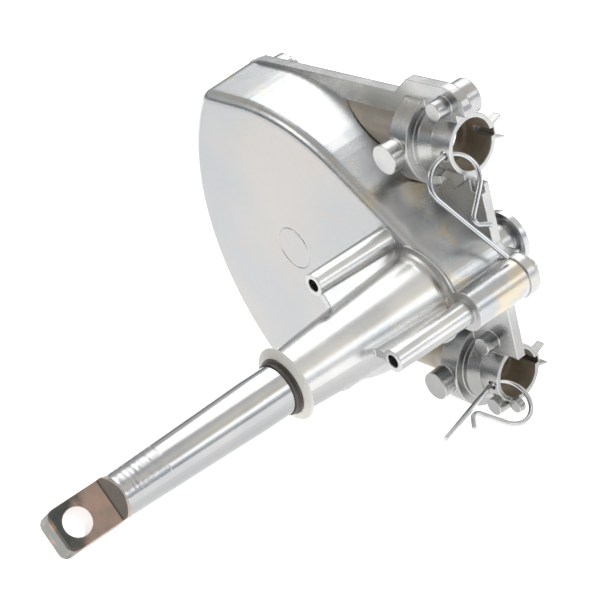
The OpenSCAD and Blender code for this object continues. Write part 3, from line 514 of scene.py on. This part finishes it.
def fin_web(name, z):
    shell = bmesh.new()
    rings = []
    for i in range(WEB_STEPS + 1):
        a = -WEB_HALF_A + 2 * WEB_HALF_A * i / WEB_STEPS
        rings.append([
            shell.verts.new((x, CABLE_Y + r * math.cos(a), z + r * math.sin(a)))
            for x, r in WEB_OUTLINE
        ])
    sides = len(WEB_OUTLINE)
    for one, two in zip(rings, rings[1:]):
        for k in range(sides):
            shell.faces.new((one[k], one[(k + 1) % sides], two[(k + 1) % sides], two[k]))
    shell.faces.new(rings[0][::-1])
    shell.faces.new(rings[-1])
    bmesh.ops.recalc_face_normals(shell, faces=shell.faces)
    mesh = bpy.data.meshes.new(name)
    shell.to_mesh(mesh)
    shell.free()
    mesh.materials.append(materials["rear_casting"])
    web = bpy.data.objects.new(name, mesh)
    bpy.context.scene.collection.objects.link(web)
    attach(web, "housing")


fin_web("upper_fin_web", CABLE_Z)
fin_web("lower_fin_web", -CABLE_Z)

# ---- Floor and lamps ----

FLOOR_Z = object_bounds()[0][2] - 0.03
FLOOR_HALF = 3.0
FLOOR_GLOW = 0.62
LIT_POINT = Vector((-0.03, 0.0, 0.0))


def floor():
    mesh = bpy.data.meshes.new("floor")
    s = FLOOR_HALF
    mesh.from_pydata([(-s, -s, 0), (s, -s, 0), (s, s, 0), (-s, s, 0)], [], [(0, 1, 2, 3)])
    obj = bpy.data.objects.new("floor", mesh)
    obj.location.z = FLOOR_Z
    bpy.context.scene.collection.objects.link(obj)
    m = Mat("floor_paper")
    shade = m.mix(m.noise(3.0, 1.0, 0.4), (0.93, 0.93, 0.93), (0.95, 0.95, 0.95))
    m.finish(shade, 0.9, 0.0)
    m.bsdf.inputs["Emission Color"].default_value = (1, 1, 1, 1)
    m.bsdf.inputs["Emission Strength"].default_value = FLOOR_GLOW
    mesh.materials.append(m.mat)


def area(name, place, size, power, colour):
    """A rectangular lamp that faces the lit point; its size is in metres and its power in watts."""
    light = bpy.data.lights.new(name, "AREA")
    light.shape = "RECTANGLE"
    light.size, light.size_y = size
    light.energy = power
    light.color = colour
    lamp = bpy.data.objects.new(name, light)
    lamp.location = place
    lamp.rotation_euler = (LIT_POINT - Vector(place)).to_track_quat("-Z", "Y").to_euler()
    bpy.context.scene.collection.objects.link(lamp)


floor()
area("key", (-0.40, 0.50, 0.85), (0.85, 0.95), 3.6, (1.0, 1.0, 1.0))
area("fill", (0.95, 0.55, 0.42), (0.75, 0.26), 0.62, (0.96, 0.98, 1.0))
area("front", (-0.55, -0.85, 0.75), (0.5, 0.35), 0.9, (1.0, 0.98, 0.95))

# ---- Room that the bright metal reflects: bands of colour from the horizon (0) to straight up (1) ----

OUTLET_SIDE = [
    (0.00, (0.34, 0.36, 0.39)), (0.05, (0.50, 0.52, 0.55)), (0.16, (0.92, 0.94, 0.96)),
    (0.36, (0.90, 0.91, 0.92)), (0.47, (0.84, 0.84, 0.83)), (0.60, (0.86, 0.77, 0.63)),
    (0.72, (0.90, 0.89, 0.87)), (1.00, (0.60, 0.60, 0.61)),
]
FAR_SIDE = [
    (0.00, (0.22, 0.23, 0.23)), (0.08, (0.10, 0.12, 0.13)), (0.20, (0.34, 0.36, 0.38)),
    (0.40, (0.70, 0.72, 0.74)), (0.62, (0.56, 0.52, 0.45)), (1.00, (0.60, 0.60, 0.61)),
]
TOWARD_OUTLETS = (0.84, 0.55, 0)
TOWARD_DARK = (0.73, -0.48, 0.48)
DARK_CORNER = (0.06, 0.06, 0.065)
ROOM_STRENGTH = 0.8

world = bpy.data.worlds.new("studio")
world.use_nodes = True
sky = world.node_tree
way = sky.nodes.new("ShaderNodeTexCoord").outputs["Generated"]
parts = sky.nodes.new("ShaderNodeSeparateXYZ")
sky.links.new(way, parts.inputs[0])


def bands(stops):
    ramp = sky.nodes.new("ShaderNodeValToRGB")
    sky.links.new(parts.outputs[2], ramp.inputs[0])
    for i, (place, shade) in enumerate(stops):
        stop = ramp.color_ramp.elements[i] if i < 2 else ramp.color_ramp.elements.new(place)
        stop.position = place
        stop.color = (*shade, 1)
    return ramp.outputs[0]


def toward(direction, near, full):
    """0 away from a direction, 1 close to it."""
    dot = sky.nodes.new("ShaderNodeVectorMath")
    dot.operation = "DOT_PRODUCT"
    sky.links.new(way, dot.inputs[0])
    dot.inputs[1].default_value = Vector(direction).normalized()
    fade = sky.nodes.new("ShaderNodeMapRange")
    fade.interpolation_type = "SMOOTHSTEP"
    sky.links.new(dot.outputs["Value"], fade.inputs["Value"])
    fade.inputs["From Min"].default_value = near
    fade.inputs["From Max"].default_value = full
    return fade.outputs[0]


def blend(fac, a, b):
    """Mixes two colours of the room."""
    mix = sky.nodes.new("ShaderNodeMix")
    mix.data_type = "RGBA"
    sky.links.new(fac, mix.inputs[0])
    for socket, value in ((mix.inputs[6], a), (mix.inputs[7], b)):
        if isinstance(value, tuple):
            socket.default_value = (*value, 1)
        else:
            sky.links.new(value, socket)
    return mix.outputs[2]


room = blend(toward(TOWARD_OUTLETS, 0.1, 0.5), bands(FAR_SIDE), bands(OUTLET_SIDE))
room = blend(toward(TOWARD_DARK, 0.90, 0.975), room, DARK_CORNER)
sky.links.new(room, sky.nodes["Background"].inputs[0])
sky.nodes["Background"].inputs[1].default_value = ROOM_STRENGTH
bpy.context.scene.world = world
bpy.context.scene.view_settings.view_transform = "Standard"

# ---- Camera, at the photo's place ----

CAMERA_AT = (0.4341, -0.3006, 0.3128)
RIGHT = Vector((0.6352, 0.7385, -0.2259))
DOWN = Vector((0.2477, -0.4719, -0.8461))
AHEAD = Vector((-0.7315, 0.4815, -0.4827))
camera = bpy.data.objects.new("camera", bpy.data.cameras.new("camera"))
camera.data.lens = 103.6
camera.data.sensor_width = 36
camera.data.clip_start = 0.01
camera.data.clip_end = 20
turn = Matrix((RIGHT, -DOWN, -AHEAD)).transposed()
camera.matrix_world = Matrix.Translation(CAMERA_AT) @ turn.to_4x4()
bpy.context.scene.collection.objects.link(camera)
bpy.context.scene.camera = camera
